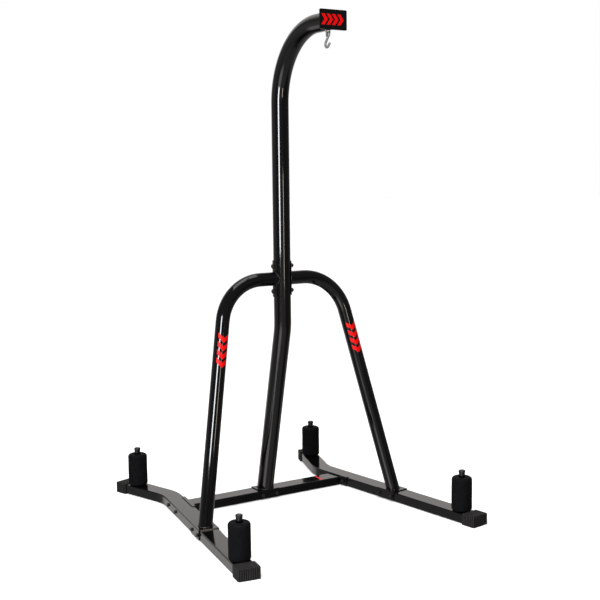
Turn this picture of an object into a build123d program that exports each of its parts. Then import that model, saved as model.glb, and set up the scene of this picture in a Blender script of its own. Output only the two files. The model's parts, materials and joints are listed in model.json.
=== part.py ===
from build123d import *
import os
from math import atan2, cos, degrees, radians, sin

# Single-station heavy-bag stand. Millimetres, +Z up, the floor at z = 0.
# The stand is symmetric about x = 0; its arm and hook reach towards -Y.
# The dimensions and functions measure y from the mast's axis. Each node is then written
# MAST_Y further back, so that the origin is the centre of the footprint.

# ---- driving dimensions ----
MAST_Y = 15.5

# skids: bent rectangular tubes lying flat; the corner is where the two straight runs would meet
SKID_FRONT = (559, -690)
SKID_CORNER = (410, 340)
SKID_BACK = (516, 652)
SKID_BEND = 225
SKID_WIDTH = 82
SKID_HEIGHT = 41.5
FLAT_WALL = 2
FLAT_CORNER = 5

# rubber end caps under and round the skid ends
CAP_LENGTH = 66
CAP_WALL = 4
CAP_SOLE = 3
CAP_CORNER = 5
RIB_PROUD = 1.2
RIB_WIDTH = 3.6
RIB_PITCH = 9

# cross tube and the flanges that join it to the skids
CROSS_Y = 181
CROSS_WIDTH = 82
CROSS_HEIGHT = 39.5
CROSS_BOTTOM = 2
PLATE = 4
FLANGE_LENGTH = 156
FLANGE_LIP = 16
FLANGE_LIP_THICK = 3
FLANGE_BOLT_OFFSETS = (-52.5, 59)

# mast: lower upright, joint, upper mast and arm, all one diameter
MAST_R = 38.1
MAST_WALL = 2
KNEE_Z = 820
KNEE_BEND = 250
JOINT_Z = 1046
ARM_Z = 2102.5
ARM_BEND = 304
JOINT_SLEEVE_LOW = 945
JOINT_SLEEVE_HIGH = 1145

# end plate on the arm
PLATE_FACE_Y = -428
END_PLATE_WIDTH = 127
END_PLATE_HEIGHT = 79
END_PLATE_THICK = 5
END_PLATE_CORNER = 5

# hoop: two bent legs, each welded to the clamp sleeve round the mast
HOOP_R = 30.15
HOOP_WALL = 2
HOOP_Z = 1040
HOOP_CORNER_X = 279
HOOP_BEND = 206
FOOT_Y = -167

# C-shaped clamp sleeve, open towards the front
CLAMP_CLEAR = 0.3
CLAMP_WALL = 4.2
CLAMP_HEIGHT = 160
CLAMP_OPENING = 60
CLAMP_CHAMFER = 16
CLAMP_BOLT_SPACING = 110

# saddles under the legs and under the upright
SADDLE_Y = -160
SADDLE_LENGTH = 108
SADDLE_BOLT_SPACING = 78
SADDLE_BOTTOM = 6
UPRIGHT_SADDLE_LENGTH = 100
UPRIGHT_SADDLE_BOLT_SPACING = 72
UPRIGHT_SADDLE_BOTTOM = 5

# weight pegs: a post, a domed plug and a foam sleeve
PEG_FROM_END = 107.5
POST_R = 13.35
POST_WALL = 2
POST_TOP = 214.5
PLUG_HEAD_R = 14.6
PLUG_HEAD = 9
PLUG_STEM = 18
FOAM_R = 44
FOAM_BORE_R = 13.8
FOAM_BOTTOM = 45
FOAM_TOP = 195
FOAM_EDGE = 12

# hook and the staple that it hangs from
HOOK_Y = -387
STAPLE_ROD_R = 3
STAPLE_HALF = 8.6
STAPLE_Z = 2049.8
HOOK_ROD_R = 4.8
HOOK_EYE_R = 8.1
HOOK_PLAY = 0.1
HOOK_NECK = (0, 2039)
HOOK_BACK = (33, 2000)
HOOK_LOW = (7.3, 2000)
HOOK_FRONT = (1, 2000)
HOOK_TIP = (-11, 2012.7)
HOOK_NECK_BEND = 6
HOOK_BACK_BEND = 11.7
HOOK_FRONT_BEND = 13

# fasteners
M8 = {"r": 4, "hole": 4.3, "flats": 13, "head": 5.3, "nut": 6.8, "washer_r": 8, "washer": 1.6}
M10 = {"r": 5, "hole": 5.3, "flats": 17, "head": 6.4, "nut": 8.4, "washer_r": 10, "washer": 2}
THREAD_STUB = 4

# ---- worked out from the dimensions above ----
SKID_TOP = CAP_SOLE + SKID_HEIGHT
SKID_MID = CAP_SOLE + SKID_HEIGHT / 2
CROSS_TOP = CROSS_BOTTOM + CROSS_HEIGHT
CROSS_MID = CROSS_BOTTOM + CROSS_HEIGHT / 2
CLAMP_INNER = MAST_R + CLAMP_CLEAR
CLAMP_OUTER = CLAMP_INNER + CLAMP_WALL
SIDES = {"left": -1, "right": 1}
BIG = 400


def skid_angle(start, end):
    """Turn about Z that takes +Y onto the skid's run from start to end, in degrees."""
    return degrees(atan2(start[0] - end[0], end[1] - start[1]))


FRONT_TURN = skid_angle(SKID_FRONT, SKID_CORNER)
BACK_TURN = skid_angle(SKID_CORNER, SKID_BACK)


def along(start, turn, distance):
    """Point at a distance from start along a run with the given turn."""
    return (start[0] - distance * sin(radians(turn)), start[1] + distance * cos(radians(turn)))


def skid_place(y, z=0):
    """Frame on the right skid's main run: local X points outward, local Y along the tube."""
    x = SKID_CORNER[0] + (SKID_CORNER[1] - y) * (SKID_FRONT[0] - SKID_CORNER[0]) / (
        SKID_CORNER[1] - SKID_FRONT[1]
    )
    return Pos(x, y, z) * Rot(0, 0, FRONT_TURN)


def swept(path, section):
    """Solid of a section drawn about the path's start, its local X level."""
    tangent = path % 0
    level = tangent.cross(Vector(0, 0, 1))
    x_dir = level if level.length > 0.01 else Vector(1, 0, 0)
    start = Plane(origin=path @ 0, x_dir=x_dir, z_dir=tangent)
    return sweep(start * section, path=path)


def round_tube(path, radius, wall):
    """Bent round tube."""
    return swept(path, Circle(radius)) - swept(path, Circle(radius - wall))


def flat_tube(path, width, height):
    """Bent rectangular tube, its width level."""
    outside = RectangleRounded(width, height, FLAT_CORNER)
    inside = RectangleRounded(width - 2 * FLAT_WALL, height - 2 * FLAT_WALL, FLAT_CORNER - FLAT_WALL)
    return swept(path, outside) - swept(path, inside)


def block(x, y, z):
    """Box between the given low and high limits on each axis."""
    box = Box(x[1] - x[0], y[1] - y[0], z[1] - z[0], align=(Align.MIN, Align.MIN, Align.MIN))
    return Pos(x[0], y[0], z[0]) * box


def rod_x(radius, low, high, y=0, z=0):
    """Cylinder along local X from low to high."""
    return Pos((low + high) / 2, y, z) * Rot(0, 90, 0) * Cylinder(radius, high - low)


def both_sides(shape):
    """The right-hand shape and its mirror image, by side name."""
    return {"right": shape, "left": mirror(shape, about=Plane.YZ)}


def save(shape, name):
    """Writes one node in the frame whose origin is the footprint's centre."""
    shape = Pos(0, MAST_Y, 0) * shape
    shape.label = name
    export_step(shape, f"parts/{name}.step")


def group(*shapes):
    """Separate solids that share one node."""
    return Compound([solid for shape in shapes for solid in shape.solids()])


# ---- fasteners, along local X, the head on the +X side ----
def hexagon(size, low, thick):
    """Hexagon across the flats, its corners eased, from low along +X."""
    prism = extrude(RegularPolygon(size / 2, 6, major_radius=False), thick)
    ease = chamfer(Cylinder(size * 0.577, thick).edges().group_by(Axis.Z)[-1], size * 0.07)
    eased = prism & (Pos(0, 0, thick / 2) * ease)
    return Pos(low, 0, 0) * Rot(0, 90, 0) * eased


def bolt(kind, head_face, nut_face):
    """Hexagon bolt from its head's seat to a stub past the nut."""
    shank_end = nut_face - kind["washer"] - kind["nut"] - THREAD_STUB
    seat = head_face + kind["washer"]
    return hexagon(kind["flats"], seat, kind["head"]) + rod_x(kind["r"], shank_end, seat + 1)


def nut(kind, nut_face):
    """Hexagon nut whose washer sits on nut_face, facing -X."""
    outer = mirror(hexagon(kind["flats"], -nut_face + kind["washer"], kind["nut"]), about=Plane.YZ)
    return outer - rod_x(kind["r"], nut_face - BIG, nut_face)


def washer_pair(kind, head_face, nut_face):
    """The washers under the head and under the nut."""
    pair = []
    for low in (head_face, nut_face - kind["washer"]):
        disc = rod_x(kind["washer_r"], low, low + kind["washer"])
        pair.append(disc - rod_x(kind["hole"], low - 1, low + kind["washer"] + 1))
    return pair


def fastener_set(kind, places, head_face, nut_face):
    """Bolts, nuts and washers of one joint at each place."""
    bolts = [place * bolt(kind, head_face, nut_face) for place in places]
    nuts = [place * nut(kind, nut_face) for place in places]
    washers = [place * w for place in places for w in washer_pair(kind, head_face, nut_face)]
    return bolts, nuts, washers


def drill(shape, kind, places):
    """Clearance holes for bolts at the places."""
    for place in places:
        shape = shape - place * rod_x(kind["hole"], -BIG / 2, BIG / 2)
    return shape


# ---- bolt places ----
SADDLE_BOLTS = [
    skid_place(SADDLE_Y, SKID_MID) * Pos(0, side * SADDLE_BOLT_SPACING / 2, 0) for side in (-1, 1)
]
FLANGE_BOLTS = [
    skid_place(CROSS_Y, SKID_MID) * Pos(0, offset, 0) for offset in FLANGE_BOLT_OFFSETS
]
CLAMP_BOLTS = [
    Pos(0, 0, HOOP_Z + side * CLAMP_BOLT_SPACING / 2) * Rot(0, 0, 180) for side in (-1, 1)
]
UPRIGHT_BOLTS = [
    Pos(side * UPRIGHT_SADDLE_BOLT_SPACING / 2, CROSS_Y, CROSS_MID) * Rot(0, 0, -90)
    for side in (-1, 1)
]


# ---- base ----
def skid():
    """Right skid: a straight run, a bend and a shorter run that splays outward."""
    start = along(SKID_FRONT, FRONT_TURN, CAP_WALL)
    end = along(SKID_BACK, BACK_TURN, -CAP_WALL)
    points = [(x, y, SKID_MID) for x, y in (start, SKID_CORNER, end)]
    path = FilletPolyline(*points, radius=SKID_BEND)
    tube = flat_tube(path, SKID_WIDTH, SKID_HEIGHT)
    return drill(tube, M8, SADDLE_BOLTS + FLANGE_BOLTS)


def end_cap():
    """Rubber boot: its closed end at y = 0, open towards +Y, its sole flat on the floor."""
    half = SKID_WIDTH / 2 + CAP_WALL
    top = SKID_TOP + CAP_WALL
    boot = block((-half, half), (0, CAP_LENGTH), (0, top))
    boot = fillet(boot.edges().filter_by(Axis.Z).group_by(Axis.Y)[0], CAP_CORNER)
    boot = fillet(boot.edges().group_by(Axis.Z)[-1], CAP_WALL * 0.6)
    rib_half = RIB_WIDTH / 2
    count = int((half - CAP_CORNER - rib_half) // RIB_PITCH)
    side_count = int((CAP_LENGTH - CAP_CORNER - CAP_WALL) // RIB_PITCH)
    for step in range(-count, count + 1):
        x = step * RIB_PITCH
        low, high = x - rib_half, x + rib_half
        boot = boot + block((low, high), (-RIB_PROUD, 1), (0, top - CAP_WALL))
        boot = boot + block((low, high), (CAP_CORNER, CAP_LENGTH - CAP_WALL), (top - 1, top + RIB_PROUD))
    for step in range(side_count):
        y = CAP_CORNER + RIB_PITCH * (step + 0.75)
        low, high = y - rib_half, y + rib_half
        boot = boot + block((-half - RIB_PROUD, 1 - half), (low, high), (0, top - CAP_WALL))
        boot = boot + block((half - 1, half + RIB_PROUD), (low, high), (0, top - CAP_WALL))
    hollow = extrude(RectangleRounded(SKID_WIDTH, SKID_HEIGHT, FLAT_CORNER), CAP_LENGTH)
    return boot - Pos(0, CAP_WALL, SKID_MID) * Rot(-90, 0, 0) * hollow


def flange():
    """Angle plate on the inner face of the right skid, its lip over the tube's top."""
    half = FLANGE_LENGTH / 2
    inner = -SKID_WIDTH / 2
    plate = block((inner - PLATE, inner), (-half, half), (CAP_SOLE + 1, SKID_TOP + FLANGE_LIP_THICK))
    lip = block(
        (inner - PLATE, inner - PLATE + FLANGE_LIP), (-half, half), (SKID_TOP, SKID_TOP + FLANGE_LIP_THICK)
    )
    angle = plate + lip
    bend = angle.edges().filter_by(Axis.Y).group_by(Axis.Z)[-1].sort_by(Axis.X)[0]
    angle = fillet(bend, FLANGE_LIP_THICK * 0.8)
    return drill(skid_place(CROSS_Y) * angle, M8, FLANGE_BOLTS)


def cross_tube():
    """Rectangular tube between the two flanges, its ends mitred to them."""
    reach = SKID_FRONT[0]
    path = Line((-reach, CROSS_Y, CROSS_MID), (reach, CROSS_Y, CROSS_MID))
    tube = flat_tube(path, CROSS_WIDTH, CROSS_HEIGHT)
    inner_face = -SKID_WIDTH / 2 - PLATE
    outside = skid_place(CROSS_Y) * block((inner_face, BIG), (-BIG, BIG), (-BIG, BIG))
    tube = tube - outside - mirror(outside, about=Plane.YZ)
    return drill(tube, M8, UPRIGHT_BOLTS)


def channel(length, half_width, bottom, top):
    """Inverted channel along local Y that wraps a tube lying under it."""
    outer = block((-half_width - PLATE, half_width + PLATE), (-length / 2, length / 2), (bottom, top + PLATE))
    outer = fillet(outer.edges().filter_by(Axis.Y).group_by(Axis.Z)[-1], PLATE)
    inner = block((-half_width, half_width), (-length, length), (bottom - 1, top))
    return outer - inner


def leg_saddle():
    """Saddle under the right leg, wrapped over the skid."""
    shape = channel(SADDLE_LENGTH, SKID_WIDTH / 2, SADDLE_BOTTOM, SKID_TOP)
    return drill(skid_place(SADDLE_Y) * shape, M8, SADDLE_BOLTS)


def upright_saddle():
    """Saddle under the upright, wrapped over the cross tube."""
    shape = channel(UPRIGHT_SADDLE_LENGTH, CROSS_WIDTH / 2, UPRIGHT_SADDLE_BOTTOM, CROSS_TOP)
    return drill(Pos(0, CROSS_Y, 0) * Rot(0, 0, 90) * shape, M8, UPRIGHT_BOLTS)


# ---- mast ----
def upright():
    """Lower mast section: leans forward off the cross tube, then turns vertical."""
    foot_z = CROSS_TOP + PLATE
    lean = CROSS_Y / (KNEE_Z - foot_z)
    below = CROSS_Y + lean * foot_z
    path = FilletPolyline((0, below, 0), (0, 0, KNEE_Z), (0, 0, JOINT_Z), radius=KNEE_BEND)
    tube = round_tube(path, MAST_R, MAST_WALL)
    tube = tube - block((-BIG, BIG), (-BIG, BIG), (-BIG, foot_z))
    return drill(tube, M10, CLAMP_BOLTS)


def mast():
    """Upper mast section with the arm bent forward at its top."""
    arm_end = PLATE_FACE_Y + END_PLATE_THICK
    path = FilletPolyline((0, 0, JOINT_Z), (0, 0, ARM_Z), (0, arm_end, ARM_Z), radius=ARM_BEND)
    return drill(round_tube(path, MAST_R, MAST_WALL), M10, CLAMP_BOLTS)


def joint_sleeve():
    """Inner tube that bridges the two mast sections inside the clamp."""
    outer_r = MAST_R - MAST_WALL - 0.2
    path = Line((0, 0, JOINT_SLEEVE_LOW), (0, 0, JOINT_SLEEVE_HIGH))
    return drill(round_tube(path, outer_r, MAST_WALL), M10, CLAMP_BOLTS)


def clamp_sleeve():
    """C-shaped sleeve round the mast joint, its front corners cut back."""
    half = CLAMP_HEIGHT / 2
    ring = Cylinder(CLAMP_OUTER, CLAMP_HEIGHT) - Cylinder(CLAMP_INNER, CLAMP_HEIGHT)
    x = CLAMP_OPENING / 2
    outline = Polyline(
        (x, -half + CLAMP_CHAMFER),
        (x, half - CLAMP_CHAMFER),
        (x + CLAMP_CHAMFER, half + 1),
        (-x - CLAMP_CHAMFER, half + 1),
        (-x, half - CLAMP_CHAMFER),
        (-x, -half + CLAMP_CHAMFER),
        (-x - CLAMP_CHAMFER, -half - 1),
        (x + CLAMP_CHAMFER, -half - 1),
        close=True,
    )
    window = extrude(Plane.XZ * make_face(outline), CLAMP_OUTER + 1)
    return drill(Pos(0, 0, HOOP_Z) * (ring - window), M10, CLAMP_BOLTS)


def end_plate():
    """Flat plate across the arm's end."""
    outline = RectangleRounded(END_PLATE_WIDTH, END_PLATE_HEIGHT, END_PLATE_CORNER)
    plate = extrude(outline, END_PLATE_THICK)
    return Pos(0, PLATE_FACE_Y + END_PLATE_THICK, ARM_Z) * Rot(90, 0, 0) * plate


# ---- hoop ----
def leg():
    """Right half of the hoop: level off the clamp, then down to the skid."""
    foot = skid_place(FOOT_Y, SKID_TOP).position
    corner = Vector(HOOP_CORNER_X, 0, HOOP_Z)
    below = foot + (foot - corner) * 0.02
    path = FilletPolyline((0, 0, HOOP_Z), corner, below, radius=HOOP_BEND)
    tube = round_tube(path, HOOP_R, HOOP_WALL)
    tube = tube - Pos(0, 0, HOOP_Z) * Cylinder(CLAMP_OUTER, BIG)
    tube = tube - block((-CLAMP_OUTER, 0), (-BIG, BIG), (0, 2 * HOOP_Z))
    return tube - block((0, 2 * BIG), (-BIG, BIG), (-BIG, SKID_TOP + PLATE))


# ---- weight pegs ----
def peg_places():
    """Where the pegs of the right skid stand."""
    front = along(SKID_FRONT, FRONT_TURN, PEG_FROM_END)
    back = along(SKID_BACK, BACK_TURN, -PEG_FROM_END)
    return {"front": Pos(*front, 0), "back": Pos(*back, 0)}


def post():
    """Round post standing on the skid."""
    path = Line((0, 0, SKID_TOP), (0, 0, POST_TOP))
    return round_tube(path, POST_R, POST_WALL)


def plug():
    """Domed plug in the post's top."""
    head = Pos(0, 0, POST_TOP + PLUG_HEAD / 2) * Cylinder(PLUG_HEAD_R, PLUG_HEAD)
    head = fillet(head.edges().group_by(Axis.Z)[-1], PLUG_HEAD * 0.5)
    stem = Pos(0, 0, POST_TOP - PLUG_STEM / 2 + 0.5) * Cylinder(POST_R - POST_WALL, PLUG_STEM + 1)
    return head + stem


def foam_sleeve():
    """Foam sleeve round a post, its ends rounded."""
    height = FOAM_TOP - FOAM_BOTTOM
    body = Cylinder(FOAM_R, height)
    body = fillet(body.edges().filter_by(GeomType.CIRCLE), FOAM_EDGE)
    return Pos(0, 0, FOAM_BOTTOM + height / 2) * (body - Cylinder(FOAM_BORE_R, height))


# ---- hook ----
def staple():
    """Rod bent to a U under the arm, its legs welded to the tube."""
    path = FilletPolyline(
        (-STAPLE_HALF, HOOK_Y, ARM_Z),
        (-STAPLE_HALF, HOOK_Y, STAPLE_Z),
        (STAPLE_HALF, HOOK_Y, STAPLE_Z),
        (STAPLE_HALF, HOOK_Y, ARM_Z),
        radius=STAPLE_HALF - 0.1,
    )
    arm = Pos(0, HOOK_Y, ARM_Z) * Rot(90, 0, 0) * Cylinder(MAST_R, BIG)
    return swept(path, Circle(STAPLE_ROD_R)) - arm


def hook():
    """Open hook: a closed eye on the staple, a stem that leans back and a bow that opens forward."""
    eye_z = STAPLE_Z + STAPLE_ROD_R + HOOK_ROD_R + HOOK_PLAY - HOOK_EYE_R
    shape = Pos(0, HOOK_Y, eye_z) * Rot(0, 90, 0) * Torus(HOOK_EYE_R, HOOK_ROD_R)
    neck, back, low, front, tip = [
        Vector(0, HOOK_Y + y, z) for y, z in (HOOK_NECK, HOOK_BACK, HOOK_LOW, HOOK_FRONT, HOOK_TIP)
    ]
    top = Vector(0, HOOK_Y, eye_z - HOOK_EYE_R)
    middle = neck + (back - neck) * 0.25
    bends = (
        (top, neck, middle, HOOK_NECK_BEND),
        (middle, back, low, HOOK_BACK_BEND),
        (low, front, tip, HOOK_FRONT_BEND),
    )
    for start, corner, end, radius in bends:
        shape = shape + swept(FilletPolyline(start, corner, end, radius=radius), Circle(HOOK_ROD_R))
    return shape + Pos(tip) * Sphere(HOOK_ROD_R)


# ---- all nodes ----
def build():
    """Writes every node."""
    os.makedirs("parts", exist_ok=True)
    cap = end_cap()
    cap_places = {
        "front": Pos(*SKID_FRONT, 0) * Rot(0, 0, FRONT_TURN),
        "back": Pos(*SKID_BACK, 0) * Rot(0, 0, BACK_TURN + 180),
    }
    paired = {
        "skid": skid(),
        "leg": leg(),
        "leg_saddle": leg_saddle(),
        "cross_tube_flange": flange(),
    }
    for end, place in cap_places.items():
        paired[f"end_cap_{end}"] = place * cap
    for end, place in peg_places().items():
        paired[f"peg_post_{end}"] = place * post()
        paired[f"peg_plug_{end}"] = place * plug()
        paired[f"foam_sleeve_{end}"] = place * foam_sleeve()
    for name, shape in paired.items():
        for side, one in both_sides(shape).items():
            save(one, f"{name}_{side}")

    centre = {
        "cross_tube": cross_tube(),
        "upright_saddle": upright_saddle(),
        "upright": upright(),
        "mast": mast(),
        "joint_sleeve": joint_sleeve(),
        "clamp_sleeve": clamp_sleeve(),
        "end_plate": end_plate(),
        "hook_staple": staple(),
        "hook": hook(),
    }
    for name, shape in centre.items():
        save(shape, name)

    skid_half = SKID_WIDTH / 2
    cross_half = CROSS_WIDTH / 2 + PLATE
    sets = {
        "leg_saddle": (M8, SADDLE_BOLTS, skid_half + PLATE, -skid_half - PLATE, True),
        "cross_tube": (M8, FLANGE_BOLTS, skid_half, -skid_half - PLATE, True),
        "upright_saddle": (M8, UPRIGHT_BOLTS, cross_half, -cross_half, False),
        "clamp": (M10, CLAMP_BOLTS, CLAMP_OUTER, -CLAMP_OUTER, False),
    }
    for name, (kind, places, head_face, nut_face, mirrored) in sets.items():
        for word, shapes in zip(
            ("bolts", "nuts", "washers"), fastener_set(kind, places, head_face, nut_face)
        ):
            if mirrored:
                shapes = shapes + [mirror(shape, about=Plane.YZ) for shape in shapes]
            save(group(*shapes), f"{name}_{word}")


build()
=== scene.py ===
"""Looks of the heavy-bag stand: paint, rubber, zinc and foam, the welds, the red marks and the studio."""

import json
from math import atan2, cos, pi, radians, sin, tau

import bmesh
import bpy
import numpy as np
from mathutils import Matrix, Vector, noise

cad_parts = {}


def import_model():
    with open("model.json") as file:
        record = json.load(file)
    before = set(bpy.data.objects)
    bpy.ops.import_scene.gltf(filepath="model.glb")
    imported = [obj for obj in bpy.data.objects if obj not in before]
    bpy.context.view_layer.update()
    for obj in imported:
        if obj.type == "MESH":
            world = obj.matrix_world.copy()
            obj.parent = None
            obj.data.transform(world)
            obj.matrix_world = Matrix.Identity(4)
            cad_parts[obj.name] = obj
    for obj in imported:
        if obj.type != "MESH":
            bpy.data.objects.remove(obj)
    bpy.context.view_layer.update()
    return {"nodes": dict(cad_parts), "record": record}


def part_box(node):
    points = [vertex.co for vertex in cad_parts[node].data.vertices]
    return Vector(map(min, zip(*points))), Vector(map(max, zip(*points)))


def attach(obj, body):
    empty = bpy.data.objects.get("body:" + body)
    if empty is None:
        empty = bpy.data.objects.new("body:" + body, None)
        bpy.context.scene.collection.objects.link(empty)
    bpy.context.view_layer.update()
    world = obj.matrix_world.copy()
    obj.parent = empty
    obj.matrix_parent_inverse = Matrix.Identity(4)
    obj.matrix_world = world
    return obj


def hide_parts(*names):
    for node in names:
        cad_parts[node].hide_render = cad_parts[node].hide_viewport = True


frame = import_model()
SIDES = ("left", "right")
ENDS = ("front", "back")

# ---- camera: places in metres, lens and sensor in millimetres ----
CAMERA_PLACE = (-2.3555, -4.0072, 1.5006)
CAMERA_HEADING = radians(31.31)
CAMERA_TILT = radians(6.83)
CAMERA_ROLL = radians(-0.62)
CAMERA_LENS = 63.57
CAMERA_SENSOR = 36
CAMERA_REACH = 200

# ---- studio: metres, and degrees for turns, rises and spreads ----
FLOOR_RADIUS = 60
FLOOR_WHITE = 0.96
FLOOR_GLOW = 0.12
BACKDROP_RADIUS = 55
BACKDROP_GLOW = 1.0
LIGHT_AIM = (0, 0, 0.9)
SUN_STRENGTH = 2.6
SUN_SPREAD = 70
SUN_TURN = -30
SUN_HEIGHT = 2.2
WORLD_TINT = (1.03, 0.99, 0.97)

# patches of the surroundings: turn, rise, inner and outer fade angles, brightness
WORLD_PATCHES = (
    (0, 90, 60, 181, 0.16),  # all round, brightest overhead
    (-168, 16, 26, 44, 0.78),  # wall behind the stand
    (-135, -20, 8, 17, 0.72),  # floor behind it, to the left
    (-25, -28, 6, 22, 1.7),  # floor in front of it, to the left
    (0, -50, 30, 62, 0.36),  # floor at its foot, on the camera's side
    (-95, -22, 15, 45, 0.24),  # floor at its left
    (140, -42, 15, 50, 0.34),  # floor behind it, to the right
)

# ---- materials ----
NOISE_ROUGHNESS = 0.55
FINE_PEEL = 0.12

# ---- rubber caps ----
RIB_PITCH = 0.009
RIB_WIDTH = 0.0036
RIB_FIRST = 0.01295

# a cap's face is on one of its sides if more than this part of its normal points across the cap
SIDE_FACING = 0.7
# and on one of its walls if less than this part points up
WALL_LEAN = 0.1

# ---- foam sleeves ----
FOAM_SEGMENTS = 128
FOAM_EDGE_STEPS = 12
FOAM_WALL_STEPS = 26
FOAM_EDGE_SHARE = 0.28
FOAM_PROUD = 0.0004
POST_GAP = 0.0004
FOAM_FOOT_LIFT = 0.0003
FOAM_TOP_DROP = 0.0005
FOAM_TAPER = 0.006
FOAM_WAIST = 0.003

# rims of a sleeve's bore: outwards from the bore, and in from the sleeve's end
FOOT_RIM = ((0, 0.0015), (0.002, 0))
TOP_RIM = ((0.006, 0.0006), (0.0012, 0.002), (0, 0.0045))

# uneven skin of a sleeve: scales of its noise around and up, and how far apart the sleeves read it, then the
# height of its broad layer and of one that is SKIN_FINER times finer
SKIN_AROUND = 1.6
SKIN_UP = 14
SKIN_APART = 7.3
SKIN_BROAD = 0.0007
SKIN_FINE = 0.0003
SKIN_FINER = 3.1

# ---- welds ----
WELD_RADIUS = 0.0026
ARM_WELD_RADIUS = 0.0015
WELD_STEP = 0.0011
WELD_SIDES = 10
RIPPLE_PITCH = 0.0042
RIPPLE_SHARE = 0.13
UNEVEN_SHARE = 0.12
UNEVEN_SCALE = 90

# outlines that the welds follow: how near to a surface its vertices lie, the sectors about the middle that
# hold one point each, and the share of the widest that a point has to reach
TOUCH = 0.0004
LOOP_SECTORS = 90
LOOP_NARROWEST = 0.6

# ---- red marks ----
MARK_PROUD = 0.00025
MARK_SUNK = 0.00005

# chevrons: how many in a row, then in pitches what the last one adds, a chevron's width and its thickness
CHEVRON_COUNT = 4
ROW_END = 0.55
CHEVRON_WIDTH = 1.2
CHEVRON_THICK = 0.598

# shares of the end plate's width and height, and the size of the faces that the mark is cut into
PLATE_MARK_WIDTH = 0.90
PLATE_MARK_HEIGHT = 0.54
PLATE_MARK_STEP = 0.02

# down a leg: length, width in tube radii, share of the leg's height, turn about the tube in radians
LEG_MARK_LENGTH = 0.16
LEG_MARK_WIDTH = 1.7
LEG_MARK_RISE = 0.686
LEG_MARK_TURN = {"left": -0.08, "right": -0.06}
LEG_MARK_STEP = 0.004
LEG_STRAIGHT = (0.15, 0.62)

# strip over the cross tube: share of the way out, width, margin at each end
STRIP_OUT = 0.75
STRIP_WIDTH = 0.011
STRIP_MARGIN = 0.011
STRIP_STEP = 0.05


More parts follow.
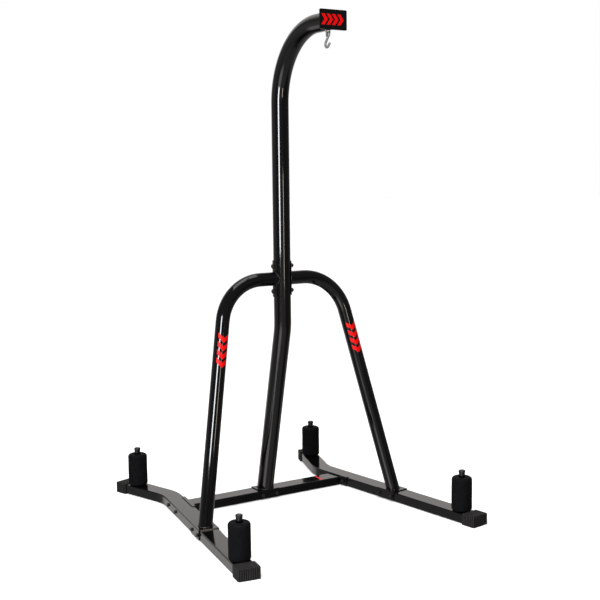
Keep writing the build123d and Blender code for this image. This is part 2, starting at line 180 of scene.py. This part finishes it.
# ---------------------------------------------------------------- materials
class Surface:
    """A Principled material whose nodes are wired by short calls."""

    def __init__(self, name, roughness, metallic=0.0, specular=0.5):
        self.material = bpy.data.materials.new(name)
        self.material.use_nodes = True
        self.nodes = self.material.node_tree.nodes
        self.links = self.material.node_tree.links
        self.shader = self.nodes["Principled BSDF"]
        self.shader.inputs["Roughness"].default_value = roughness
        self.shader.inputs["Metallic"].default_value = metallic
        self.shader.inputs["Specular IOR Level"].default_value = specular
        self.place = self.nodes.new("ShaderNodeNewGeometry").outputs["Position"]
        self.normal = None

    def noise(self, scale, detail, stretch=None):
        """Noise over the surface; stretch scales each axis of its place first."""
        node = self.nodes.new("ShaderNodeTexNoise")
        node.inputs["Scale"].default_value = scale
        node.inputs["Detail"].default_value = detail
        node.inputs["Roughness"].default_value = NOISE_ROUGHNESS
        place = self.place if stretch is None else self.stretched(stretch)
        self.links.new(place, node.inputs["Vector"])
        return node.outputs["Fac"]

    def stretched(self, stretch):
        node = self.nodes.new("ShaderNodeVectorMath")
        node.operation = "MULTIPLY"
        node.inputs[1].default_value = stretch
        self.links.new(self.place, node.inputs[0])
        return node.outputs["Vector"]

    def cells(self, scale):
        """Distance to the nearest cell centre."""
        node = self.nodes.new("ShaderNodeTexVoronoi")
        node.inputs["Scale"].default_value = scale
        self.links.new(self.place, node.inputs["Vector"])
        return node.outputs["Distance"]

    def math(self, operation, *values):
        """One maths node; each value is a number or another node's output."""
        node = self.nodes.new("ShaderNodeMath")
        node.operation = operation
        for socket, value in zip(node.inputs, values):
            if isinstance(value, (int, float)):
                socket.default_value = value
            else:
                self.links.new(value, socket)
        return node.outputs["Value"]

    def dot(self, vector, axis):
        node = self.nodes.new("ShaderNodeVectorMath")
        node.operation = "DOT_PRODUCT"
        node.inputs[1].default_value = axis
        self.links.new(vector, node.inputs[0])
        return node.outputs["Value"]

    def ribs(self, across, middle, along, first):
        """Mask of a cap's ribs: spaced across its width on the end and top, along it on the sides."""
        facing = self.nodes.new("ShaderNodeNewGeometry").outputs["True Normal"]
        on_side = self.math("GREATER_THAN", self.math("ABSOLUTE", self.dot(facing, across)), SIDE_FACING)
        bands = []
        for axis, crest in ((across, middle), (along, first)):
            offset = self.math("SUBTRACT", self.dot(self.place, axis), crest)
            from_crest = self.math("PINGPONG", offset, RIB_PITCH / 2)
            bands.append(self.math("LESS_THAN", from_crest, RIB_WIDTH / 2))
        apart = self.math("SUBTRACT", bands[1], bands[0])
        return self.math("ADD", bands[0], self.math("MULTIPLY", on_side, apart))

    def ramp(self, value, start, low, end, high):
        """Value turned into a run from one grey or colour at its start to another at its end."""
        node = self.nodes.new("ShaderNodeValToRGB")
        for element, position, colour in zip(node.color_ramp.elements, (start, end), (low, high)):
            if isinstance(colour, (int, float)):
                colour = (colour, colour, colour)
            element.position = position
            element.color = (*colour, 1)
        self.links.new(value, node.inputs["Fac"])
        return node.outputs["Color"]

    def mottle(self, low, high, scale, detail, start=0.3, end=0.7):
        """Noise turned into a run between two greys or colours."""
        return self.ramp(self.noise(scale, detail), start, low, end, high)

    def mix(self, factor, low, high):
        """Colour mix whose factor varies over the surface."""
        node = self.nodes.new("ShaderNodeMix")
        node.data_type = "RGBA"
        self.links.new(factor, node.inputs["Factor"])
        # the colours are inputs 6 and 7 and output 2, since the node's other sockets share their names
        for socket, colour in ((node.inputs[6], low), (node.inputs[7], high)):
            if isinstance(colour, tuple):
                socket.default_value = (*colour, 1)
            else:
                self.links.new(colour, socket)
        return node.outputs[2]

    def feed(self, socket, value):
        self.links.new(value, self.shader.inputs[socket])

    def bump(self, height, depth, strength=1.0):
        """Adds a layer of bump of the given depth over the layers before it."""
        node = self.nodes.new("ShaderNodeBump")
        node.inputs["Strength"].default_value = strength
        node.inputs["Distance"].default_value = depth
        self.links.new(height, node.inputs["Height"])
        if self.normal is not None:
            self.links.new(self.normal, node.inputs["Normal"])
        self.normal = node.outputs["Normal"]
        self.feed("Normal", self.normal)


def powder_coat(name, low, high, roughness, peel):
    """Powder coat: orange peel, faint clouding and finer gloss changes."""
    s = Surface(name, roughness[0])
    s.feed("Base Color", s.mottle(low, high, scale=9, detail=2))
    s.feed("Roughness", s.mottle(*roughness, scale=55, detail=4, end=0.75))
    s.bump(s.noise(scale=260, detail=2), depth=peel)
    s.bump(s.noise(scale=1400, detail=2), depth=peel * FINE_PEEL)
    return s.material


def rubber(name, *rib_frame):
    """Cap rubber, the crests of its ribs painted paler, as light catching them and as rubbing, and the
    grooves between them painted darker as shade.
    """
    s = Surface(name, 0.7, specular=0.2)
    # painted shade: the grooves' tone is darker than the rubber, as shade between the ribs
    groove_shade_tone = (0.0036, 0.0036, 0.0035), (0.0078, 0.0076, 0.0074)
    # painted highlight and wear: the crests' tone is paler, as light catching them and as rubbing
    rubbed = (0.017, 0.0165, 0.016), (0.042, 0.0405, 0.039)
    tone = s.mottle(*groove_shade_tone, scale=60, detail=4, end=0.75)
    crest = s.mottle(*rubbed, scale=140, detail=3, end=0.75)
    # the rib mask puts the painted light on the crests and the painted shade in the grooves
    s.feed("Base Color", s.mix(s.ribs(*rib_frame), tone, crest))
    s.feed("Roughness", s.mottle(0.6, 0.85, scale=400, detail=2))
    s.bump(s.noise(scale=1800, detail=2), depth=0.00012)
    return s.material


def moulded_plastic(name):
    """Black plastic of the pegs' plugs."""
    s = Surface(name, 0.4)
    s.feed("Base Color", s.mottle((0.006, 0.006, 0.0065), (0.010, 0.010, 0.0105), scale=120, detail=2))
    s.feed("Roughness", s.mottle(0.34, 0.5, scale=300, detail=2))
    s.bump(s.noise(scale=2500, detail=1), depth=0.00004)
    return s.material


def closed_cell_foam(name):
    """Foam skin: fine open pores, painted darker as shade inside them, over soft clouding."""
    s = Surface(name, 0.8, specular=0.11)
    low, high = (0.0020, 0.0021, 0.0026), (0.0047, 0.0049, 0.0059)
    tone = s.mottle(low, high, scale=70, detail=5, end=0.75)
    pores = s.ramp(s.cells(620), 0.1, 0.0, 0.45, 1.0)
    # painted shade: the pores are darker than the foam around them, as shade inside them
    s.feed("Base Color", s.mix(pores, (0.0012, 0.0012, 0.0014), tone))
    s.bump(pores, depth=0.00022, strength=0.7)
    s.bump(s.noise(scale=140, detail=4), depth=0.0005, strength=0.6)
    return s.material


def zinc_plate(name):
    """Bright zinc plate: mottled, with fine drawing lines."""
    s = Surface(name, 0.5, metallic=0.55)
    s.feed("Base Color", s.mottle((0.23, 0.226, 0.218), (0.34, 0.333, 0.325), scale=420, detail=3))
    s.feed("Roughness", s.mottle(0.42, 0.6, scale=900, detail=3, end=0.75))
    s.bump(s.noise(scale=1500, detail=2, stretch=(1, 1, 0.15)), depth=0.00006)
    return s.material


def black_zinc(name):
    """Blackened zinc of the bolts, nuts and washers, rubbed lighter in spots."""
    s = Surface(name, 0.36, metallic=0.85)
    low, high = (0.030, 0.030, 0.032), (0.11, 0.11, 0.11)
    s.feed("Base Color", s.mottle(low, high, scale=500, detail=4, start=0.35, end=0.8))
    s.feed("Roughness", s.mottle(0.28, 0.48, scale=800, detail=2))
    s.bump(s.noise(scale=2200, detail=2), depth=0.00005)
    return s.material


def mill_steel(name):
    """Unpainted steel of the sleeve inside the mast."""
    s = Surface(name, 0.4, metallic=1.0)
    s.feed("Base Color", s.mottle((0.30, 0.30, 0.31), (0.45, 0.45, 0.46), scale=90, detail=4))
    s.bump(s.noise(scale=700, detail=2, stretch=(1, 1, 0.05)), depth=0.00008)
    return s.material


def red_vinyl(name):
    """Printed red film, a little uneven in tone and gloss."""
    s = Surface(name, 0.4, specular=0.2)
    s.feed("Base Color", s.mottle((0.66, 0.0012, 0.002), (0.80, 0.002, 0.0026), scale=150, detail=3))
    s.feed("Roughness", s.mottle(0.34, 0.48, scale=500, detail=2))
    s.bump(s.noise(scale=900, detail=2), depth=0.00003)
    return s.material


GLOSS = powder_coat(
    "gloss_powder_coat",
    low=(0.0010, 0.0010, 0.0012),
    high=(0.0018, 0.0018, 0.0020),
    roughness=(0.06, 0.10),
    peel=0.000008,
)
SATIN = powder_coat(
    "satin_powder_coat",
    low=(0.0014, 0.0014, 0.0015),
    high=(0.0024, 0.0023, 0.0022),
    roughness=(0.08, 0.14),
    peel=0.000015,
)
PLATE = powder_coat(
    "plate_powder_coat",
    low=(0.0008, 0.0008, 0.0008),
    high=(0.0014, 0.0014, 0.0014),
    roughness=(0.20, 0.28),
    peel=0.00003,
)
WELD = powder_coat(
    "weld_powder_coat",
    low=(0.0016, 0.0016, 0.0017),
    high=(0.003, 0.003, 0.003),
    roughness=(0.12, 0.22),
    peel=0.00010,
)
PLUG = moulded_plastic("plug_plastic")
FOAM = closed_cell_foam("foam_skin")
ZINC = zinc_plate("zinc_plate")
BOLT = black_zinc("black_zinc")
STEEL = mill_steel("mill_steel")
RED = red_vinyl("red_vinyl")

SLOT_MATERIALS = {
    "gloss_black": GLOSS,
    "plate_black": PLATE,
    "fastener_black": BOLT,
    "zinc": ZINC,
    "bare_steel": STEEL,
    "plug_plastic": PLUG,
    "foam": FOAM,
}
SATIN_NODES = ("upright", "upright_saddle", "cross_tube", "cross_tube_flange", "skid", "leg_saddle")


def cap_frame(node):
    """A cap's width axis and its middle, then its length axis and the place of the first side rib."""
    spread = np.zeros((2, 2))
    for face in frame["nodes"][node].data.polygons:
        if abs(face.normal.z) < WALL_LEAN:
            flat = np.array(face.normal.xy)
            spread += face.area * np.outer(flat, flat)
    # its two sides have more area than its end, so the normals of its walls spread most across it
    across = Vector((*np.linalg.eigh(spread)[1][:, 1], 0))
    along = Vector((-across.y, across.x, 0))
    points = corners(node)
    if points.mean(axis=0) @ np.array(along) < 0:
        along = -along
    width, length = points @ np.array(across), points @ np.array(along)
    return across, (width.min() + width.max()) / 2, along, length.max() - RIB_FIRST


def finish_of(name, slot):
    """Material of a CAD node: a cap's own rubber, satin paint on the base, or else its slot's material."""
    if name.startswith("end_cap"):
        return rubber(f"rubber_{name}", *cap_frame(name))
    if name.removesuffix("_left").removesuffix("_right") in SATIN_NODES:
        return SATIN
    return SLOT_MATERIALS[slot]


def paint_nodes():
    for part in frame["record"]["subparts"]:
        materials = frame["nodes"][part["node"]].data.materials
        finish = finish_of(part["node"], part["material_slot"])
        materials.clear()
        materials.append(finish)


# ---------------------------------------------------------------- mesh helpers
def piece(name, verts, faces, material, body, smooth=True):
    """New mesh piece, riding on a body and taking the finish it is given."""
    mesh = bpy.data.meshes.new(name)
    mesh.from_pydata([tuple(v) for v in verts], [], faces)
    mesh.validate()
    mesh.materials.append(material)
    mesh.polygons.foreach_set("use_smooth", [smooth] * len(mesh.polygons))
    obj = bpy.data.objects.new(name, mesh)
    bpy.context.scene.collection.objects.link(obj)
    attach(obj, body)
    return obj


def corners(node):
    """A node's vertices as an array."""
    mesh = frame["nodes"][node].data
    points = np.empty(len(mesh.vertices) * 3)
    mesh.vertices.foreach_get("co", points)
    return points.reshape(-1, 3)


def half_width(node):
    low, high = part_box(node)
    return (high.x - low.x) / 2


def slice_at(node, z):
    """Where a node's edges cross a level."""
    mesh = frame["nodes"][node].data
    points = corners(node)
    pairs = np.empty(len(mesh.edges) * 2, dtype=int)
    mesh.edges.foreach_get("vertices", pairs)
    a, b = points[pairs[0::2]], points[pairs[1::2]]
    crossing = (a[:, 2] - z) * (b[:, 2] - z) < 0
    a, b = a[crossing], b[crossing]
    t = (z - a[:, 2]) / (b[:, 2] - a[:, 2])
    return a + (b - a) * t[:, None]


def closed_faces(rings, sides, turns=None):
    """Quads between rings of vertices, the last ring joined back to the first.

    turns holds, for each ring, which of its vertices comes first.
    """
    turns = turns or [0] * rings
    faces = []
    for i in range(rings):
        j = (i + 1) % rings
        for k in range(sides):
            a, b = i * sides + (k + turns[i]) % sides, i * sides + (k + 1 + turns[i]) % sides
            c, d = j * sides + (k + 1 + turns[j]) % sides, j * sides + (k + turns[j]) % sides
            faces.append((a, b, c, d))
    return faces


# ---------------------------------------------------------------- foam sleeves
def foam_profile(bore, outer, low, high):
    """Closed half section of a sleeve, from the bore's foot round the outside to the bore's top."""
    edge = outer * FOAM_EDGE_SHARE
    profile = [(bore + out, low + rise) for out, rise in FOOT_RIM]
    for i in range(FOAM_EDGE_STEPS + 1):
        a = -pi / 2 + pi / 2 * i / FOAM_EDGE_STEPS
        profile.append((outer - edge + edge * cos(a), low + edge + edge * sin(a)))
    for i in range(1, FOAM_WALL_STEPS):
        t = i / FOAM_WALL_STEPS
        z = low + edge + (high - low - 2 * edge) * t
        profile.append((outer * (1 - FOAM_TAPER * t * t - FOAM_WAIST * sin(pi * t)), z))
    top = outer * (1 - FOAM_TAPER)
    for i in range(FOAM_EDGE_STEPS + 1):
        a = pi / 2 * i / FOAM_EDGE_STEPS
        profile.append((top - edge + edge * cos(a), high - edge + edge * sin(a)))
    return profile + [(bore + out, high - drop) for out, drop in TOP_RIM]


def foam_sleeve(end, side, number):
    """Foam sleeve turned from its section, its skin slightly uneven and never the same twice."""
    node = f"foam_sleeve_{end}_{side}"
    low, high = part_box(node)
    centre = (low + high) / 2
    outer = half_width(node) + FOAM_PROUD
    bore = half_width(f"peg_post_{end}_{side}") + POST_GAP
    profile = foam_profile(bore, outer, low.z + FOAM_FOOT_LIFT, high.z - FOAM_TOP_DROP)
    verts = []
    for r, z in profile:
        free = (r - bore) / (outer - bore)
        for k in range(FOAM_SEGMENTS):
            a = tau * k / FOAM_SEGMENTS
            where = Vector((cos(a) * SKIN_AROUND, sin(a) * SKIN_AROUND, z * SKIN_UP + number * SKIN_APART))
            uneven = noise.noise(where) * SKIN_BROAD + noise.noise(where * SKIN_FINER) * SKIN_FINE
            radius = r + uneven * free
            verts.append((centre.x + radius * cos(a), centre.y + radius * sin(a), z))
    faces = closed_faces(len(profile), FOAM_SEGMENTS)
    obj = piece(f"foam_{end}_{side}", verts, faces, FOAM, node)
    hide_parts(node)


# ---------------------------------------------------------------- welds
def weld_bead(name, line, radius=WELD_RADIUS):
    """Rippled bead of weld round a closed line of points."""
    points = resample(line, WELD_STEP)
    verts = []
    travelled = 0.0
    for i, p in enumerate(points):
        after = points[(i + 1) % len(points)]
        tangent = (after - points[i - 1]).normalized()
        across = tangent.orthogonal().normalized()
        up = tangent.cross(across)
        travelled += (after - p).length
        ripple = RIPPLE_SHARE * abs(sin(pi * travelled / RIPPLE_PITCH))
        size = radius * (1 + ripple + UNEVEN_SHARE * noise.noise(p * UNEVEN_SCALE))
        for k in range(WELD_SIDES):
            a = tau * k / WELD_SIDES
            verts.append(p + (across * cos(a) + up * sin(a)) * size)
    faces = closed_faces(len(points), WELD_SIDES, ring_turns(verts, len(points)))
    piece(name, verts, faces, WELD, "stand")


def ring_turns(verts, count):
    """Turn of each ring of a bead that lines it up with the one before."""
    turns = [0]
    for i in range(1, count):
        last = verts[(i - 1) * WELD_SIDES + turns[-1]]
        gaps = [(verts[i * WELD_SIDES + k] - last).length for k in range(WELD_SIDES)]
        turns.append(gaps.index(min(gaps)))
    return turns


def resample(points, step):
    """Points an even step apart round a closed line."""
    loop = points + [points[0]]
    lengths = [0.0]
    for a, b in zip(loop, loop[1:]):
        lengths.append(lengths[-1] + (b - a).length)
    count = round(lengths[-1] / step)
    result, k = [], 0
    for i in range(count):
        d = lengths[-1] * i / count
        while k < len(loop) - 2 and lengths[k + 1] < d:
            k += 1
        share = (d - lengths[k]) / (lengths[k + 1] - lengths[k])
        result.append(loop[k].lerp(loop[k + 1], share))
    return result


def outer_loop(points, centre, u, v):
    """The outermost points about a centre, in order of angle in the plane of u and v."""
    best = {}
    for p in points:
        d = Vector(p) - centre
        a, r = atan2(d.dot(v), d.dot(u)), Vector((d.dot(u), d.dot(v))).length
        sector = round(a / tau * LOOP_SECTORS)
        if sector not in best or r > best[sector][0]:
            best[sector] = (r, a, Vector(p))
    widest = max(r for r, _, _ in best.values())
    kept = [b for b in best.values() if b[0] > widest * LOOP_NARROWEST]
    return [p for _, _, p in sorted(kept, key=lambda b: b[1])]


def foot_loop(node):
    """Outline of a tube's foot, where it stands on a saddle."""
    points = corners(node)
    foot = points[points[:, 2] < points[:, 2].min() + TOUCH]
    return outer_loop(foot, Vector(foot.mean(axis=0)), Vector((1, 0, 0)), Vector((0, 1, 0)))


def leg_root_loop(side):
    """Outline of a leg's coped end on the clamp sleeve, which is open in front and round at the back."""
    low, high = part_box("clamp_sleeve")
    reach = half_width("clamp_sleeve")
    axis = Vector(((low.x + high.x) / 2, high.y - reach))
    points = corners(f"leg_{side}")
    from_axis = np.hypot(points[:, 0] - axis.x, points[:, 1] - axis.y)
    root = points[(from_axis < reach + TOUCH) & (from_axis > reach - TOUCH)]
    centre = Vector((axis.x, axis.y, root[:, 2].mean()))
    return outer_loop(root, centre, Vector((0, 1, 0)), Vector((0, 0, 1)))


def arm_end_loop():
    """Outline of the arm's end behind its plate."""
    points = corners("mast")
    ring = points[points[:, 1] < points[:, 1].min() + TOUCH]
    return outer_loop(ring, Vector(ring.mean(axis=0)), Vector((1, 0, 0)), Vector((0, 0, 1)))


def welds():
    for side in SIDES:
        weld_bead(f"weld_leg_foot_{side}", foot_loop(f"leg_{side}"))
        weld_bead(f"weld_leg_clamp_{side}", leg_root_loop(side))
    weld_bead("weld_upright_foot", foot_loop("upright"))
    weld_bead("weld_arm_plate", arm_end_loop(), radius=ARM_WELD_RADIUS)


# ---------------------------------------------------------------- red marks
def chevron(start, width, height, thick):
    """Outline of one chevron that starts at x = start and points along +X."""
    tip, half = start + width, height / 2
    upper = [(start, half), (start + thick, half), (tip, 0)]
    lower = [(start + thick, -half), (start, -half), (tip - thick, 0)]
    return upper + lower


def chevrons(length, height):
    """A row of chevrons, centred on the origin."""
    pitch = length / (CHEVRON_COUNT + ROW_END)
    width, thick = pitch * CHEVRON_WIDTH, pitch * CHEVRON_THICK
    return [chevron(-length / 2 + i * pitch, width, height, thick) for i in range(CHEVRON_COUNT)]


def filled_grid(outline, step):
    """Cuts an outline into small flat faces, so that it can be wrapped."""
    bm = bmesh.new()
    face = bm.faces.new([bm.verts.new((x, y, 0)) for x, y in outline])
    bmesh.ops.triangulate(bm, faces=[face])
    for axis, normal in enumerate((Vector((1, 0, 0)), Vector((0, 1, 0)))):
        values = [p[axis] for p in outline]
        at = min(values) + step
        while at < max(values) - step / 4:
            geom = bm.verts[:] + bm.edges[:] + bm.faces[:]
            bmesh.ops.bisect_plane(bm, geom=geom, plane_co=normal * at, plane_no=normal)
            at += step
    return bm


def applied_mark(name, outlines, wrap, step):
    """Thin film of several outlines, laid on the surface that wrap(u, v, lift) describes."""
    verts, faces = [], []
    for outline in outlines:
        bm = filled_grid(outline, step)
        bm.verts.index_update()
        base, count = len(verts), len(bm.verts)
        for lift in (MARK_PROUD, -MARK_SUNK):
            verts += [wrap(v.co.x, v.co.y, lift) for v in bm.verts]
        for face in bm.faces:
            ids = [base + v.index for v in face.verts]
            faces.append(ids)
            faces.append([i + count for i in reversed(ids)])
        for rim in (e for e in bm.edges if e.is_boundary):
            loop = rim.link_loops[0]
            a, b = base + loop.vert.index, base + loop.link_loop_next.vert.index
            faces.append([b, a, a + count, b + count])
        bm.free()
    piece(name, verts, faces, RED, "stand", smooth=False)


def plate_mark():
    """Row of chevrons across the end plate's face."""
    low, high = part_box("end_plate")
    middle = (low + high) / 2
    width, height = (high.x - low.x) * PLATE_MARK_WIDTH, (high.z - low.z) * PLATE_MARK_HEIGHT

    def wrap(u, v, lift):
        return Vector((middle.x + u, low.y - lift, middle.z + v))

    applied_mark("mark_plate", chevrons(width, height), wrap, PLATE_MARK_STEP)


def leg_axis(node):
    """Two centres of the straight part of a leg's tube, the lower one first."""
    low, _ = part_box(node)
    rings = [slice_at(node, low.z + rise) for rise in LEG_STRAIGHT]
    return [Vector(ring.min(axis=0) + ring.max(axis=0)) / 2 for ring in rings]


def tube_radius(node, foot, direction):
    """Radius of a straight tube, from its slice at the level of a point on its axis."""
    away = slice_at(node, foot.z) - np.array(foot)
    away -= np.outer(away @ np.array(direction), np.array(direction))
    return np.linalg.norm(away, axis=1).max()


def leg_mark(side):
    """Chevrons that run down the front of a leg."""
    node = f"leg_{side}"
    low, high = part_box(node)
    foot, upper = leg_axis(node)
    direction = (upper - foot).normalized()
    radius = tube_radius(node, foot, direction)
    facing = Vector((0, -1, 0))
    front = (facing - direction * facing.dot(direction)).normalized()
    across = direction.cross(front)
    height = low.z + (high.z - low.z) * LEG_MARK_RISE
    centre = foot + direction * ((height - foot.z) / direction.z)

    def wrap(u, v, lift):
        a = v / radius + LEG_MARK_TURN[side]
        out = front * cos(a) + across * sin(a)
        return centre - direction * u + out * (radius + lift)

    outlines = chevrons(LEG_MARK_LENGTH, radius * LEG_MARK_WIDTH)
    applied_mark(f"mark_leg_{side}", outlines, wrap, LEG_MARK_STEP)


def cross_tube_mark():
    """Plain red strip across the cross tube's top."""
    low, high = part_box("cross_tube")
    x, y = STRIP_WIDTH / 2, (high.y - low.y) / 2 - STRIP_MARGIN

    def wrap(u, v, lift):
        return Vector((high.x * STRIP_OUT + u, (low.y + high.y) / 2 + v, high.z + lift))

    applied_mark("mark_cross_tube", [[(-x, -y), (x, -y), (x, y), (-x, y)]], wrap, STRIP_STEP)


# ---------------------------------------------------------------- studio
def around(turn, distance, height):
    """Place at a turn from the camera's side of the object, positive towards the picture's right."""
    a = CAMERA_HEADING - radians(turn)
    return (-sin(a) * distance, -cos(a) * distance, height)


def aimed(name, light, direction):
    """Adds a light that shines along a direction."""
    obj = bpy.data.objects.new(name, light)
    obj.rotation_euler = direction.to_track_quat("-Z", "Y").to_euler()
    bpy.context.scene.collection.objects.link(obj)
    return obj


def panel(name, place, size, brightness, colour):
    """Rectangular light, unseen itself, whose face has the given brightness."""
    light = bpy.data.lights.new(name, "AREA")
    light.shape = "RECTANGLE"
    light.size, light.size_y = size
    light.energy = brightness * pi * size[0] * size[1]
    light.color = colour
    obj = aimed(name, light, Vector(LIGHT_AIM) - Vector(place))
    obj.location = place
    obj.visible_camera = False


def soft_sun(name):
    """Even light over the whole floor, without a highlight of its own."""
    light = bpy.data.lights.new(name, "SUN")
    light.energy = SUN_STRENGTH
    light.angle = radians(SUN_SPREAD)
    obj = aimed(name, light, -Vector(around(SUN_TURN, 1, SUN_HEIGHT)))
    obj.visible_glossy = False


def lights():
    left = around(turn=-19, distance=3.0, height=1.56)
    right = around(turn=30.5, distance=3.0, height=1.1)
    above = (0, 0, 4.2)
    panel("strip_left", left, size=(0.74, 1.3), brightness=27, colour=(0.93, 0.96, 1.0))
    panel("strip_right", right, size=(0.24, 0.8), brightness=14, colour=(1.0, 0.86, 0.70))
    panel("overhead", above, size=(2.4, 2.4), brightness=2.6, colour=(1, 1, 1))
    soft_sun("room")


def world():
    """Studio surroundings as the object reflects them."""
    made = bpy.data.worlds.new("studio")
    bpy.context.scene.world = made
    made.use_nodes = True
    nodes, links = made.node_tree.nodes, made.node_tree.links
    where = nodes.new("ShaderNodeTexCoord").outputs["Generated"]

    def patch(turn, rise, inner, outer, brightness):
        """Round patch of light that fades from the inner to the outer angle."""
        x, y, _ = around(turn, cos(radians(rise)), 0)
        dot = nodes.new("ShaderNodeVectorMath")
        dot.operation = "DOT_PRODUCT"
        dot.inputs[1].default_value = (x, y, sin(radians(rise)))
        links.new(where, dot.inputs[0])
        fade = nodes.new("ShaderNodeMapRange")
        fade.interpolation_type = "SMOOTHSTEP"
        fade.inputs["From Min"].default_value = cos(radians(outer))
        fade.inputs["From Max"].default_value = cos(radians(inner))
        fade.inputs["To Max"].default_value = brightness
        links.new(dot.outputs["Value"], fade.inputs["Value"])
        return fade.outputs["Result"]

    total = patch(*WORLD_PATCHES[0])
    for values in WORLD_PATCHES[1:]:
        brightness = patch(*values)
        add = nodes.new("ShaderNodeMath")
        add.operation = "ADD"
        links.new(total, add.inputs[0])
        links.new(brightness, add.inputs[1])
        total = add.outputs["Value"]
    tint = nodes.new("ShaderNodeVectorMath")
    tint.operation = "SCALE"
    tint.inputs[0].default_value = WORLD_TINT
    links.new(total, tint.inputs["Scale"])
    links.new(tint.outputs["Vector"], nodes["Background"].inputs["Color"])


def stage_material(name, grey, glow):
    """Matt white or black that also glows white."""
    material = bpy.data.materials.new(name)
    material.use_nodes = True
    shader = material.node_tree.nodes["Principled BSDF"]
    shader.inputs["Base Color"].default_value = (grey, grey, grey, 1)
    shader.inputs["Roughness"].default_value = 0.9
    shader.inputs["Specular IOR Level"].default_value = 0.0
    shader.inputs["Emission Color"].default_value = (1, 1, 1, 1)
    shader.inputs["Emission Strength"].default_value = glow
    return material


def stage():
    """White floor, and a white shell that only the camera sees."""
    bpy.ops.mesh.primitive_circle_add(vertices=128, radius=FLOOR_RADIUS, fill_type="NGON")
    floor = bpy.context.object
    floor.name = "floor"
    floor.data.materials.append(stage_material("floor_white", FLOOR_WHITE, FLOOR_GLOW))
    floor.visible_glossy = False
    floor.visible_diffuse = False
    bpy.ops.mesh.primitive_uv_sphere_add(segments=64, ring_count=32, radius=BACKDROP_RADIUS)
    shell = bpy.context.object
    shell.name = "backdrop"
    shell.data.materials.append(stage_material("backdrop_white", 0, BACKDROP_GLOW))
    for ray in ("diffuse", "glossy", "transmission", "volume_scatter", "shadow"):
        setattr(shell, f"visible_{ray}", False)


def camera():
    data = bpy.data.cameras.new("camera")
    data.sensor_width = CAMERA_SENSOR
    data.lens = CAMERA_LENS
    data.clip_end = CAMERA_REACH
    obj = bpy.data.objects.new("camera", data)
    turn = Matrix.Rotation(-CAMERA_HEADING, 4, "Z")
    tilt = Matrix.Rotation(pi / 2 - CAMERA_TILT, 4, "X")
    roll = Matrix.Rotation(CAMERA_ROLL, 4, "Z")
    obj.matrix_world = Matrix.Translation(CAMERA_PLACE) @ turn @ tilt @ roll
    bpy.context.scene.collection.objects.link(obj)
    bpy.context.scene.camera = obj


camera()
paint_nodes()
for number, (end, side) in enumerate((e, s) for e in ENDS for s in SIDES):
    foam_sleeve(end, side, number)
welds()
plate_mark()
for side in SIDES:
    leg_mark(side)
cross_tube_mark()
lights()
world()
stage()
bpy.context.scene.view_settings.view_transform = "Standard"
